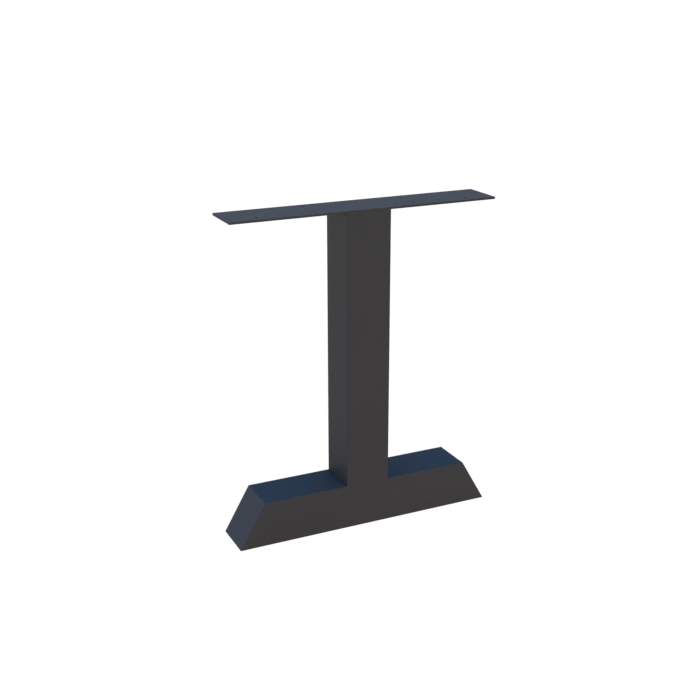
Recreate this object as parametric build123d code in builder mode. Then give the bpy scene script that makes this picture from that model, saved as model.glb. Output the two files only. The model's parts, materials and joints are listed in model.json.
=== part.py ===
from build123d import *
import math
import os

os.makedirs("parts", exist_ok=True)

# A T-shaped table leg, welded from steel: a square tube column stands on a wide foot of the
# same tube and carries a flat plate, which is screwed to the underside of a table top.
# X runs along the foot and the plate, Y from front to back and Z up. The origin is on the
# floor, at the centre of the foot. All sizes are in millimetres and degrees.

# Height from the floor to the table top's underside
total_height = 710

# Square tube, which both the column and the foot are cut from
tube_side = 100
tube_wall = 3
tube_corner_radius = 1
tube_inner_radius = 0.5

# Foot, whose ends lean inwards from the floor
foot_length = 600
end_slant = 30
end_plate_thickness = 3
end_plate_edge_chamfer = 0.3

# Top plate
plate_length = 600
plate_thickness = 5
plate_corner_radius = 1
plate_edge_radius = 0.5

# Screw holes, in two rows on each side of the column
screw_hole_diameter = 6
screw_hole_pitch = 62.5
screw_holes_per_row = 3
screw_edge_distance = 20

# Hexagon nuts for levelling feet, welded inside the foot over holes in its underside
nut_end_distance = 50
nut_side_distance = 20
nut_across_flats = 17
nut_height = 10
nut_chamfer = 1
nut_pilot_diameter = 12
nut_pilot_clearance = 0.15
thread_bore_diameter = 6.8
thread_mouth_chamfer = 0.6

# Places that follow from the sizes
column_top = total_height - plate_thickness
column_length = column_top - tube_side
tube_bore = tube_side - 2 * tube_wall
hole_group_x = tube_side / 2 + screw_hole_pitch * (screw_holes_per_row + 1) / 2
screw_row_spacing = tube_side - 2 * screw_edge_distance
nut_x = foot_length / 2 - nut_end_distance
nut_y = tube_side / 2 - nut_side_distance
slant_angle = math.radians(end_slant)
foot_start = Plane(origin=(-foot_length / 2, 0, tube_side / 2), x_dir=(0, 1, 0), z_dir=(1, 0, 0))


def end_plane(direction):
    """Outside plane of the foot's end at -X (direction -1) or +X (direction 1), facing out."""
    return Plane(
        origin=(direction * foot_length / 2, 0, 0),
        x_dir=(0, 1, 0),
        z_dir=(direction * math.cos(slant_angle), 0, math.sin(slant_angle)),
    )


# Section of the square tube
with BuildSketch() as tube_section:
    RectangleRounded(tube_side, tube_side, tube_corner_radius)
    RectangleRounded(tube_bore, tube_bore, tube_inner_radius, mode=Mode.SUBTRACT)

# Top plate: flat steel, as deep as the tube, with its edges broken and the screw holes drilled
with BuildPart() as top_plate:
    with BuildSketch(Plane.XY.offset(column_top)):
        RectangleRounded(plate_length, tube_side, plate_corner_radius)
    extrude(amount=plate_thickness)
    upper_edges = top_plate.edges().group_by(Axis.Z)[-1]
    lower_edges = top_plate.edges().group_by(Axis.Z)[0]
    fillet(upper_edges + lower_edges, plate_edge_radius)
    with Locations(Plane.XY.offset(total_height)):
        with GridLocations(2 * hole_group_x, 0, 2, 1):
            with GridLocations(screw_hole_pitch, screw_row_spacing, screw_holes_per_row, 2):
                Hole(screw_hole_diameter / 2)
top_plate.part.label = "top_plate"
export_step(top_plate.part, "parts/top_plate.step")

# Column: the tube cut square, standing on the foot's top face
with BuildPart() as column:
    with BuildSketch(Plane.XY.offset(tube_side)):
        add(tube_section.sketch)
    extrude(amount=column_length)
column.part.label = "column"
export_step(column.part, "parts/column.step")

# Foot: the tube mitred at both ends, short of the outside by the plates that close it
with BuildPart() as foot_beam:
    with BuildSketch(foot_start):
        add(tube_section.sketch)
    extrude(amount=foot_length)
    for direction in (-1, 1):
        split(bisect_by=end_plane(direction).offset(-end_plate_thickness), keep=Keep.BOTTOM)
    # Weld metal ground flush along the column's front and back, where it fills the tube's corner
    with BuildSketch(Plane.XY.offset(tube_side - tube_corner_radius)):
        with GridLocations(0, tube_side - tube_corner_radius, 1, 2):
            Rectangle(tube_side - 2 * tube_corner_radius, tube_corner_radius)
    extrude(amount=tube_corner_radius)
    # Holes that the levelling nuts' pilots sit in
    with BuildSketch(Plane.XY):
        with GridLocations(2 * nut_x, 2 * nut_y, 2, 2):
            Circle(nut_pilot_diameter / 2 + nut_pilot_clearance)
    extrude(amount=tube_wall, mode=Mode.SUBTRACT)
foot_beam.part.label = "foot_beam"
export_step(foot_beam.part, "parts/foot_beam.step")

# End plates: they close the mitred tube, bevelled flush with it all round
for side, direction in (("left", -1), ("right", 1)):
    outside = end_plane(direction)
    with BuildPart() as end_plate:
        with BuildSketch(foot_start):
            RectangleRounded(tube_side, tube_side, tube_corner_radius)
        extrude(amount=foot_length)
        split(bisect_by=outside, keep=Keep.BOTTOM)
        split(bisect_by=outside.offset(-end_plate_thickness), keep=Keep.TOP)
        outer_face = end_plate.faces().sort_by(Axis(outside.origin, outside.z_dir))[-1]
        chamfer(outer_face.edges(), end_plate_edge_chamfer)
    end_plate.part.label = f"end_plate_{side}"
    export_step(end_plate.part, f"parts/end_plate_{side}.step")

# Levelling nuts: a hexagon inside the foot, and a round pilot that fills the hole in its wall
for row, y_side in (("front", -1), ("back", 1)):
    for side, x_side in (("left", -1), ("right", 1)):
        nut_plane = Plane((x_side * nut_x, y_side * nut_y, 0))
        with BuildPart() as levelling_nut:
            with BuildSketch(nut_plane):
                Circle(nut_pilot_diameter / 2)
            extrude(amount=tube_wall)
            with BuildSketch(nut_plane.offset(tube_wall)):
                RegularPolygon(nut_across_flats / 2, 6, major_radius=False)
            extrude(amount=nut_height)
            chamfer(levelling_nut.faces().sort_by(Axis.Z)[-1].edges(), nut_chamfer)
            with BuildSketch(nut_plane):
                Circle(thread_bore_diameter / 2)
            extrude(amount=tube_wall + nut_height, mode=Mode.SUBTRACT)
            underside = levelling_nut.faces().sort_by(Axis.Z)[0]
            thread_mouth = underside.edges().sort_by(SortBy.RADIUS)[0]
            chamfer(thread_mouth, thread_mouth_chamfer)
        levelling_nut.part.label = f"levelling_nut_{row}_{side}"
        export_step(levelling_nut.part, f"parts/levelling_nut_{row}_{side}.step")
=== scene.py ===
"""Dresses the T-shaped table leg and stands it in a plain pale studio.

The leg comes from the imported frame: a square tube column on a wide foot with slanted ends, under a
long flat plate. Its steel gets a matt fine-textured powder coat. The four levelling nuts in the
foot's underside get their real threads.
"""

import json
import logging
import math
from dataclasses import dataclass
from enum import Enum

import bpy
import numpy as np
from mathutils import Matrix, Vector


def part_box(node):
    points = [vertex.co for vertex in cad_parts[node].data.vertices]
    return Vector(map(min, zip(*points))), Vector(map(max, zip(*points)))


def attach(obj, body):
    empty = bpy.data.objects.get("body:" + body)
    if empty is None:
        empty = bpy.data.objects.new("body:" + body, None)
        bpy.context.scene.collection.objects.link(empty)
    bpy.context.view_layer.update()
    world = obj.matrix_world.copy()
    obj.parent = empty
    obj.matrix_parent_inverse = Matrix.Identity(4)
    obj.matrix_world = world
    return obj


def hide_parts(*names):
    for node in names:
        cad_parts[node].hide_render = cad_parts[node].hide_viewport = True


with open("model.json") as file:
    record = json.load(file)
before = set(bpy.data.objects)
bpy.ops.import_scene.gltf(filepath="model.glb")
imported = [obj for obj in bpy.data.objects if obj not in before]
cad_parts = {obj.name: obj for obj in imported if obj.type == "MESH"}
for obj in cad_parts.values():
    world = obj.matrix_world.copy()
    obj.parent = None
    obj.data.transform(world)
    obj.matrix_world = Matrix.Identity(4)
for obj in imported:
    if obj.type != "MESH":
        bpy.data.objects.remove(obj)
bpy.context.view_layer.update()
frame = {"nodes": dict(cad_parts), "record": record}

log = logging.getLogger("table_leg")

BODY = "root"
VALUE_SOCKET = "NodeSocketFloat"

# Places of a Mix node's colour sockets, which share their names with its other sockets
FIRST_COLOUR, SECOND_COLOUR, MIXED_COLOUR = 6, 7, 2

Colour = tuple[float, float, float]
Point = tuple[float, float, float]
Profile = list[tuple[float, float]]
Node = bpy.types.Node
Socket = bpy.types.NodeSocket
Feed = Socket | float | tuple[float, ...]

BLACK: Colour = (0.0, 0.0, 0.0)
WHITE: Colour = (1.0, 1.0, 1.0)


class Slot(Enum):
    """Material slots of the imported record."""

    POWDER_COAT = "powder_coat"
    BARE_STEEL = "bare_steel"


class Row(Enum):
    """Rows of levelling nuts along the foot."""

    FRONT = "front"
    BACK = "back"


class Side(Enum):
    """Ends of the foot."""

    LEFT = "left"
    RIGHT = "right"


class Wiring:
    """Adds and joins the nodes of one node tree."""

    def __init__(self, tree: bpy.types.NodeTree) -> None:
        """Empties the tree of a material, a world or a group."""
        self.tree = tree
        self.tree.nodes.clear()

    def node(self, kind: str, inputs: dict | None = None, **settings: object) -> Node:
        """Adds one node.

        Args:
            kind: Blender's name of the node type.
            inputs: A plain value or another node's output for each input.
            settings: Properties of the node itself.

        Returns:
            The new node.
        """
        made = self.tree.nodes.new(kind)
        for name, value in settings.items():
            setattr(made, name, value)
        for name, value in (inputs or {}).items():
            self.feed(made.inputs[name], value)
        return made

    def feed(self, socket: Socket, value: Feed) -> None:
        """Links an input to an output, or sets its plain value.

        Args:
            socket: The input.
            value: An output, a number, a vector or a colour.
        """
        if isinstance(value, Socket):
            self.tree.links.new(value, socket)
        elif socket.type == "RGBA":
            socket.default_value = (*value, 1.0)
        else:
            socket.default_value = value

    def math(self, operation: str, *values: Feed) -> Socket:
        """Result of a Math node, by Blender's name of its operation."""
        return self.node("ShaderNodeMath", dict(enumerate(values)), operation=operation).outputs[0]

    def mix(self, share: Feed, first: Feed, second: Feed) -> Socket:
        """Mix of two colours, with this share of the second."""
        inputs = {0: share, FIRST_COLOUR: first, SECOND_COLOUR: second}
        return self.node("ShaderNodeMix", inputs, data_type="RGBA").outputs[MIXED_COLOUR]

    def blend(self, share: Feed, first: Node, second: Node) -> Node:
        """Mix of two shaders, with this share of the second."""
        inputs = {0: share, 1: first.outputs[0], 2: second.outputs[0]}
        return self.node("ShaderNodeMixShader", inputs)

    def spread(self, mask: Socket, middle: float, reach: float) -> Socket:
        """Mask from 0 to 1, stretched to this reach on both sides of a middle value."""
        inputs = {"Value": mask, "To Min": middle - reach, "To Max": middle + reach}
        return self.node("ShaderNodeMapRange", inputs).outputs[0]

    def threshold(self, value: Socket, start: float, end: float) -> Socket:
        """Turns a value into a soft-edged mask.

        Args:
            value: The value.
            start: Value at which the mask is 0.
            end: Value at which the mask is 1.

        Returns:
            The mask.
        """
        inputs = {"Value": value, "From Min": start, "From Max": end}
        made = self.node("ShaderNodeMapRange", inputs, interpolation_type="SMOOTHSTEP")
        return made.outputs[0]

    def place(self) -> Socket:
        """Place on the piece, in metres."""
        return self.node("ShaderNodeTexCoord").outputs["Object"]

    def relief(self, height: Socket, depth: float) -> Socket:
        """Normal of a bumped surface, on which a height of 1 is this many metres."""
        inputs = {"Height": height, "Distance": depth, "Strength": 1.0}
        return self.node("ShaderNodeBump", inputs).outputs[0]

    def shown(self) -> Socket:
        """Mask of the rays that show the background, straight, in gloss or through glass.

        Returns:
            One for such a ray, and zero for a ray that only carries light.
        """
        path = self.node("ShaderNodeLightPath").outputs
        seen = self.math("MAXIMUM", path["Is Camera Ray"], path["Is Glossy Ray"])
        return self.math("MAXIMUM", seen, path["Is Transmission Ray"])

    def effect(self, tree: bpy.types.NodeTree, name: str, size: float) -> bpy.types.NodeOutputs:
        """Places a shared effect.

        Args:
            tree: The effect's node group.
            name: Name of its input.
            size: Value for that input, in metres.

        Returns:
            The group's outputs.
        """
        made = self.node("ShaderNodeGroup", node_tree=tree)
        made.inputs[name].default_value = size
        return made.outputs


def start_effect(
    name: str, size: str, results: tuple[str, ...]
) -> tuple[Wiring, Socket, bpy.types.NodeInputs]:
    """Starts a shared effect: a shader node group that is built once.

    Args:
        name: The group's name.
        size: Name of its input, a size in metres.
        results: Names of its outputs.

    Returns:
        The wiring, the size, and the inputs that the group's results go into.
    """
    tree = bpy.data.node_groups.new(name, "ShaderNodeTree")
    tree.interface.new_socket(name=size, in_out="INPUT", socket_type=VALUE_SOCKET)
    for result in results:
        tree.interface.new_socket(name=result, in_out="OUTPUT", socket_type=VALUE_SOCKET)
    wiring = Wiring(tree)
    taken = wiring.node("NodeGroupInput")
    given = wiring.node("NodeGroupOutput")
    return wiring, taken.outputs[size], given.inputs


@dataclass(frozen=True)
class FineGrain:
    """Fine grain of a cured coat or a plated surface."""

    peel_detail: float = 2.0
    peel_roughness: float = 0.55
    grain_smoothness: float = 0.6
    grain_share: float = 0.5
    mask_start: float = 0.5
    mask_end: float = 0.8

    def build(self) -> bpy.types.NodeTree:
        """Builds the effect.

        Returns:
            The group: from a grain pitch in metres to a height and a mask of single grains.
        """
        wiring, pitch, results = start_effect("fine grain", "Pitch", ("Height", "Grains"))
        where = {"Vector": wiring.place(), "Scale": wiring.math("DIVIDE", 1.0, pitch)}
        look = {"Detail": self.peel_detail, "Roughness": self.peel_roughness}
        peel = wiring.node("ShaderNodeTexNoise", where | look)
        look = {"Smoothness": self.grain_smoothness}
        cells = wiring.node("ShaderNodeTexVoronoi", where | look, feature="SMOOTH_F1")
        grains = wiring.math("SUBTRACT", 1.0, cells.outputs["Distance"])
        peel_height = wiring.math("MULTIPLY", peel.outputs[0], 1.0 - self.grain_share)
        height = wiring.math("MULTIPLY_ADD", grains, self.grain_share, peel_height)
        wiring.feed(results["Height"], height)
        mask = wiring.threshold(height, self.mask_start, self.mask_end)
        wiring.feed(results["Grains"], mask)
        return wiring.tree


@dataclass(frozen=True)
class SoftPatches:
    """Wide, soft variation from how a surface was sprayed or plated."""

    detail: float = 3.0
    roughness: float = 0.5
    mask_start: float = 0.3
    mask_end: float = 0.7

    def build(self) -> bpy.types.NodeTree:
        """Builds the effect.

        Returns:
            The group: from a patch size in metres to a mask.
        """
        wiring, size, results = start_effect("soft patches", "Size", ("Mask",))
        where = {"Vector": wiring.place(), "Scale": wiring.math("DIVIDE", 1.0, size)}
        look = {"Detail": self.detail, "Roughness": self.roughness}
        cloud = wiring.node("ShaderNodeTexNoise", where | look)
        mask = wiring.threshold(cloud.outputs[0], self.mask_start, self.mask_end)
        wiring.feed(results["Mask"], mask)
        return wiring.tree


@dataclass(frozen=True)
class ThinEdges:
    """Edges, where a coat is thinner and a plated part is rubbed."""

    samples: int = 6
    mask_start: float = 0.02
    mask_end: float = 0.3

    def build(self) -> bpy.types.NodeTree:
        """Builds the effect.

        Returns:
            The group: from a width in metres to a mask of the edges.
        """
        wiring, width, results = start_effect("thin at edges", "Width", ("Mask",))
        rounded = wiring.node("ShaderNodeBevel", {"Radius": width}, samples=self.samples)
        true_normal = wiring.node("ShaderNodeNewGeometry").outputs["True Normal"]
        inputs = {0: rounded.outputs[0], 1: true_normal}
        likeness = wiring.node("ShaderNodeVectorMath", inputs, operation="DOT_PRODUCT")
        turned = wiring.math("SUBTRACT", 1.0, likeness.outputs["Value"])
        mask = wiring.threshold(turned, self.mask_start, self.mask_end)
        wiring.feed(results["Mask"], mask)
        return wiring.tree


class Effects:
    """The effects that both finishes share."""

    def __init__(self) -> None:
        """Builds each effect once."""
        self.grain = FineGrain().build()
        self.patches = SoftPatches().build()
        self.edges = ThinEdges().build()


def new_material(name: str) -> tuple[bpy.types.Material, Wiring, Node]:
    """Starts a material of one principled shader.

    Args:
        name: The material's name.

    Returns:
        The material, its wiring and its shader.
    """
    material = bpy.data.materials.new(name)
    material.use_nodes = True
    wiring = Wiring(material.node_tree)
    shader = wiring.node("ShaderNodeBsdfPrincipled")
    wiring.node("ShaderNodeOutputMaterial", {"Surface": shader.outputs[0]})
    return material, wiring, shader


@dataclass(frozen=True)
class PowderCoat:
    """Matt powder coat with a fine texture, near black, whose film is paler where it is thin."""

    # Painted shade at grain scale: the hollows between grains are coloured darker and the grain tips
    # lighter, as shade and light would fall on them
    shaded_hollow_colour: Colour = (0.054, 0.054, 0.054)
    lit_tip_colour: Colour = (0.067, 0.067, 0.067)
    thin_colour: Colour = (0.076, 0.076, 0.076)
    thin_at_edges: float = 0.6
    thin_in_patches: float = 0.15
    roughness: float = 0.65
    roughness_reach: float = 0.05
    rough_between_grains: float = 0.2
    rough_on_grains: float = 0.6
    rough_in_patches: float = 0.2
    specular_level: float = 0.08
    grain_pitch: float = 0.0009
    grain_depth: float = 0.0001
    patch_size: float = 0.16
    edge_width: float = 0.0012

    def material(self, effects: Effects) -> bpy.types.Material:
        """Makes the coat's material.

        Args:
            effects: The shared effects.

        Returns:
            The material.
        """
        material, wiring, shader = new_material("powder coat")
        grain = wiring.effect(effects.grain, "Pitch", self.grain_pitch)
        patches = wiring.effect(effects.patches, "Size", self.patch_size)
        edges = wiring.effect(effects.edges, "Width", self.edge_width)
        # Painted shade: the coat's colour is darker in the grain's hollows and lighter on its tips
        sprayed = wiring.mix(grain["Grains"], self.shaded_hollow_colour, self.lit_tip_colour)
        edge_share = wiring.math("MULTIPLY", edges["Mask"], self.thin_at_edges)
        thin = wiring.math("MULTIPLY_ADD", patches["Mask"], self.thin_in_patches, edge_share)
        colour = wiring.mix(thin, sprayed, self.thin_colour)
        grained = (grain["Grains"], self.rough_on_grains, self.rough_between_grains)
        uneven = wiring.math("MULTIPLY_ADD", *grained)
        uneven = wiring.math("MULTIPLY_ADD", patches["Mask"], self.rough_in_patches, uneven)
        normal = wiring.relief(grain["Height"], self.grain_depth)
        rough = wiring.spread(uneven, self.roughness, self.roughness_reach)
        wiring.feed(shader.inputs["Base Color"], colour)
        wiring.feed(shader.inputs["Roughness"], rough)
        wiring.feed(shader.inputs["Normal"], normal)
        wiring.feed(shader.inputs["Specular IOR Level"], self.specular_level)
        return material


@dataclass(frozen=True)
class ZincPlate:
    """Bright zinc plating over turned steel."""

    colour: Colour = (0.56, 0.57, 0.58)
    warm_colour: Colour = (0.60, 0.58, 0.53)
    roughness: float = 0.32
    roughness_reach: float = 0.08
    rough_in_patches: float = 0.6
    grain_pitch: float = 0.0002
    grain_height: float = 0.4
    line_pitch: float = 0.00012
    line_depth: float = 0.000008
    patch_size: float = 0.006
    edge_width: float = 0.0002

    def material(self, effects: Effects) -> bpy.types.Material:
        """Makes the plating's material.

        Args:
            effects: The shared effects.

        Returns:
            The material.
        """
        material, wiring, shader = new_material("zinc plate")
        grain = wiring.effect(effects.grain, "Pitch", self.grain_pitch)
        patches = wiring.effect(effects.patches, "Size", self.patch_size)
        edges = wiring.effect(effects.edges, "Width", self.edge_width)
        lines = self._turned_lines(wiring)
        height = wiring.math("MULTIPLY_ADD", grain["Height"], self.grain_height, lines)
        normal = wiring.relief(height, self.line_depth)
        patchy = (patches["Mask"], self.rough_in_patches, grain["Grains"])
        uneven = wiring.math("MULTIPLY_ADD", *patchy)
        rubbed = wiring.math("SUBTRACT", uneven, edges["Mask"])
        colour = wiring.mix(patches["Mask"], self.colour, self.warm_colour)
        rough = wiring.spread(rubbed, self.roughness, self.roughness_reach)
        wiring.feed(shader.inputs["Base Color"], colour)
        wiring.feed(shader.inputs["Metallic"], 1.0)
        wiring.feed(shader.inputs["Roughness"], rough)
        wiring.feed(shader.inputs["Normal"], normal)
        return material

    def _turned_lines(self, wiring: Wiring) -> Socket:
        """Rings that the lathe left around the nut's axis.

        Args:
            wiring: The material's wiring.

        Returns:
            Their height, from 0 to 1.
        """
        across = {0: wiring.place(), 1: (1.0, 1.0, 0.0)}
        flat = wiring.node("ShaderNodeVectorMath", across, operation="MULTIPLY").outputs[0]
        distance = wiring.node("ShaderNodeVectorMath", {0: flat}, operation="LENGTH")
        turns = math.tau / self.line_pitch
        wave = wiring.math("SINE", wiring.math("MULTIPLY", distance.outputs["Value"], turns))
        return wiring.math("MULTIPLY_ADD", wave, 0.5, 0.5)


@dataclass(frozen=True)
class SteelFrame:
    """The welded leg: top plate, column, foot and the plates that close its ends."""

    slot: Slot = Slot.POWDER_COAT

    @property
    def nodes(self) -> list[str]:
        """Names of the CAD nodes that the record gives the leg's slot."""
        parts = frame["record"]["subparts"]
        return [part["node"] for part in parts if part["material_slot"] == self.slot.value]

    def dress(self, material: bpy.types.Material) -> None:
        """Coats every welded part.

        Args:
            material: The powder coat.
        """
        for name in self.nodes:
            for slot in frame["nodes"][name].material_slots:
                slot.material = material
            log.info("%s: coated", name)


@dataclass(frozen=True)
class LevellingNut:
    """Weld nut that takes a levelling foot: hexagon, round pilot and threaded bore.

    It is built about its own axis, from the pilot's face at zero height upwards. Its sizes are in
    metres and degrees.
    """

    row: Row
    side: Side
    pilot_radius: float = 0.006
    pilot_height: float = 0.003
    pilot_edge: float = 0.0002
    flats: int = 6
    across_flats: float = 0.017
    height: float = 0.013
    corner_slope: float = 30.0
    top_circle_share: float = 0.96
    minor_radius: float = 0.0034
    major_radius: float = 0.004
    pitch: float = 0.00125
    flank_angle: float = 60.0
    crest_share: float = 0.6
    rows_per_pitch: int = 12
    columns: int = 72
    sharp_angle: float = 28.0

    @property
    def place(self) -> str:
        """Words for the nut's place in the foot."""
        return f"{self.row.value}_{self.side.value}"

    @property
    def node(self) -> str:
        """Name of the CAD node that this nut stands for."""
        return f"levelling_nut_{self.place}"

    def bore_profile(self, angle: float) -> Profile:
        """Radius and height down the threaded bore, at one angle about the axis.

        Args:
            angle: Angle in radians.

        Returns:
            Points from the top of the bore down to its mouth.
        """
        rows = round(self.height / self.pitch * self.rows_per_pitch)
        depth = self.major_radius - self.minor_radius
        flank = depth / math.tan(math.radians(self.flank_angle)) / (self.pitch / 2)
        crest = (1 - flank) * self.crest_share
        points = []
        for row in range(rows + 1):
            height = self.height * (1 - row / rows)
            turn = (height / self.pitch - angle / math.tau) % 1.0
            groove = min(max((abs(2 * turn - 1) - crest) / flank, 0.0), 1.0)
            countersink = self.major_radius - min(height, self.height - height)
            points.append((max(self.minor_radius + depth * groove, countersink), height))
        return points

    def outer_profile(self, angle: float) -> Profile:
        """Radius and height around the outside, at one angle about the axis.

        Args:
            angle: Angle in radians.

        Returns:
            Points from the pilot's face up to the hexagon's top face.
        """
        flat_radius = self.across_flats / 2
        flat_turn = math.tau / self.flats
        hexagon = flat_radius / math.cos((angle % flat_turn) - flat_turn / 2)
        top_circle = flat_radius * self.top_circle_share
        drop = (hexagon - top_circle) * math.tan(math.radians(self.corner_slope))
        return [
            (self.pilot_radius - self.pilot_edge, 0.0),
            (self.pilot_radius, self.pilot_edge),
            (self.pilot_radius, self.pilot_height),
            (hexagon, self.pilot_height),
            (hexagon, self.height - drop),
            (top_circle, self.height),
        ]

    def mesh(self) -> bpy.types.Mesh:
        """Sweeps the closed profile once around the axis.

        Returns:
            The nut's mesh.
        """
        rings = []
        for column in range(self.columns):
            angle = math.tau * column / self.columns
            profile = self.bore_profile(angle) + self.outer_profile(angle)
            rings.append([(r * math.cos(angle), r * math.sin(angle), z) for r, z in profile])
        count = len(rings[0])
        faces = []
        for column in range(self.columns):
            this, following = column * count, (column + 1) % self.columns * count
            for point in range(count):
                after = (point + 1) % count
                faces.append((this + point, this + after, following + after, following + point))
        mesh = bpy.data.meshes.new(self.node)
        mesh.from_pydata([point for ring in rings for point in ring], [], faces)
        mesh.polygons.foreach_set("use_smooth", [True] * len(faces))
        mesh.set_sharp_from_angle(angle=math.radians(self.sharp_angle))
        mesh.update()
        return mesh

    def build(self, material: bpy.types.Material) -> bpy.types.Object:
        """Builds the nut in its CAD node's place.

        Args:
            material: The zinc plating.

        Returns:
            The nut.
        """
        low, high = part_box(self.node)
        mesh = self.mesh()
        mesh.materials.append(material)
        nut = bpy.data.objects.new(f"threaded_nut_{self.place}", mesh)
        nut.location = ((low[0] + high[0]) / 2, (low[1] + high[1]) / 2, low[2])
        bpy.context.scene.collection.objects.link(nut)
        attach(nut, BODY)
        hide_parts(self.node)
        log.info("%s: %d faces", nut.name, len(mesh.polygons))
        return nut


@dataclass(frozen=True)
class Camera:
    """The photograph's point of view: a square picture, 35 degrees wide."""

    place: Point = (-0.98805, -2.03833, 1.16696)
    aim: Point = (-0.01979, 0.0, 0.39550)
    view_angle: float = 35.0
    sensor_width: float = 36.0

    def build(self) -> None:
        """Adds the camera and makes it the scene's own."""
        data = bpy.data.cameras.new("camera")
        data.sensor_width = self.sensor_width
        data.angle = math.radians(self.view_angle)
        camera = bpy.data.objects.new("camera", data)
        camera.location = self.place
        sight = Vector(self.aim) - Vector(self.place)
        camera.rotation_euler = sight.to_track_quat("-Z", "Y").to_euler()
        bpy.context.scene.collection.objects.link(camera)
        bpy.context.scene.camera = camera


@dataclass(frozen=True)
class Lamp:
    """A distant lamp, with its angles in degrees.

    The azimuth is 0 in front of the leg and grows towards the leg's right side. The softness is
    how wide the lamp looks from the leg.
    """

    name: str
    azimuth: float
    elevation: float
    strength: float
    colour: Colour
    softness: float

    def build(self) -> None:
        """Hangs the lamp."""
        data = bpy.data.lights.new(self.name, "SUN")
        data.energy = self.strength
        data.color = self.colour
        data.angle = math.radians(self.softness)
        lamp = bpy.data.objects.new(self.name, data)
        tilt, turn = math.radians(90.0 - self.elevation), math.radians(self.azimuth)
        lamp.rotation_euler = (tilt, 0.0, turn)
        bpy.context.scene.collection.objects.link(lamp)


@dataclass(frozen=True)
class Studio:
    """Plain pale floor, a soft sky, and lamps overhead, in front and low behind.

    Floor and surroundings are shown white up to the horizon. Where the sky and its light start and
    end is given as the sine of the angle above the horizon.
    """

    floor_radius: float = 9.0
    floor_sides: int = 96
    floor_drop: float = 0.0004
    floor_colour: Colour = (0.90, 0.67, 0.37)
    floor_shown: float = 0.9
    white: float = 1.08
    sky_colour: Colour = (0.27, 0.60, 0.78)
    sky_start: float = 0.05
    sky_end: float = 0.2
    zenith_light: Colour = (0.69, 1.45, 3.42)
    zenith_start: float = 0.6
    zenith_end: float = 1.0
    lamps: tuple[Lamp, ...] = (
        Lamp("overhead lamp", 0.0, 90.0, 1.82, (1.0, 0.635, 0.345), 0.1),
        Lamp("front lamp", 10.0, 8.0, 1.465, (1.0, 0.955, 0.86), 60.0),
        Lamp("back lamp", -150.0, 3.0, 0.70, (0.70, 0.87, 1.0), 6.0),
    )

    def build(self) -> None:
        """Builds the floor, the surroundings and the lamps."""
        bpy.context.scene.view_settings.view_transform = "Standard"
        self._floor()
        self._world()
        for lamp in self.lamps:
            lamp.build()

    def _floor_material(self) -> bpy.types.Material:
        """Makes a pale paint that is shown white, keeps the leg's shadow and is clear from below.

        Returns:
            The material.
        """
        material = bpy.data.materials.new("pale floor")
        material.use_nodes = True
        wiring = Wiring(material.node_tree)
        paint = wiring.node("ShaderNodeBsdfDiffuse", {"Color": self.floor_colour})
        glow = wiring.node("ShaderNodeEmission", {"Color": WHITE, "Strength": self.white})
        share = wiring.math("MULTIPLY", wiring.shown(), self.floor_shown)
        top = wiring.blend(share, paint, glow)
        clear = wiring.node("ShaderNodeBsdfTransparent")
        below = wiring.node("ShaderNodeNewGeometry").outputs["Backfacing"]
        surface = wiring.blend(below, top, clear)
        wiring.node("ShaderNodeOutputMaterial", {"Surface": surface.outputs[0]})
        return material

    def _floor(self) -> None:
        """Makes the round floor, just under the foot."""
        turns = np.linspace(0.0, math.tau, self.floor_sides, endpoint=False)
        radius = self.floor_radius
        rim = [(radius * math.cos(t), radius * math.sin(t), -self.floor_drop) for t in turns]
        mesh = bpy.data.meshes.new("floor")
        mesh.from_pydata(rim, [], [tuple(range(len(rim)))])
        mesh.materials.append(self._floor_material())
        floor = bpy.data.objects.new("floor", mesh)
        bpy.context.scene.collection.objects.link(floor)

    def _world(self) -> None:
        """Makes the surroundings: white up to the horizon, and a pale blue sky above it."""
        world = bpy.data.worlds.new("surroundings")
        world.use_nodes = True
        wiring = Wiring(world.node_tree)
        direction = wiring.node("ShaderNodeTexCoord").outputs["Generated"]
        upward = wiring.node("ShaderNodeSeparateXYZ", {0: direction}).outputs["Z"]
        sky = wiring.threshold(upward, self.sky_start, self.sky_end)
        seen = wiring.mix(sky, (self.white,) * 3, self.sky_colour)
        backdrop = wiring.node("ShaderNodeBackground", {"Color": seen, "Strength": 1.0})
        zenith = wiring.threshold(upward, self.zenith_start, self.zenith_end)
        soft = wiring.mix(zenith, BLACK, self.zenith_light)
        light = wiring.node("ShaderNodeBackground", {"Color": soft, "Strength": 1.0})
        surface = wiring.blend(wiring.shown(), light, backdrop)
        wiring.node("ShaderNodeOutputWorld", {"Surface": surface.outputs[0]})
        bpy.context.scene.world = world


def main() -> None:
    """Builds the leg's pieces in order, then the studio and the camera."""
    logging.basicConfig(level=logging.INFO, format="%(name)s: %(message)s")
    effects = Effects()
    SteelFrame().dress(PowderCoat().material(effects))
    plating = ZincPlate().material(effects)
    for row in Row:
        for side in Side:
            LevellingNut(row, side).build(plating)
    Studio().build()
    Camera().build()


if __name__ == "__main__":
    main()
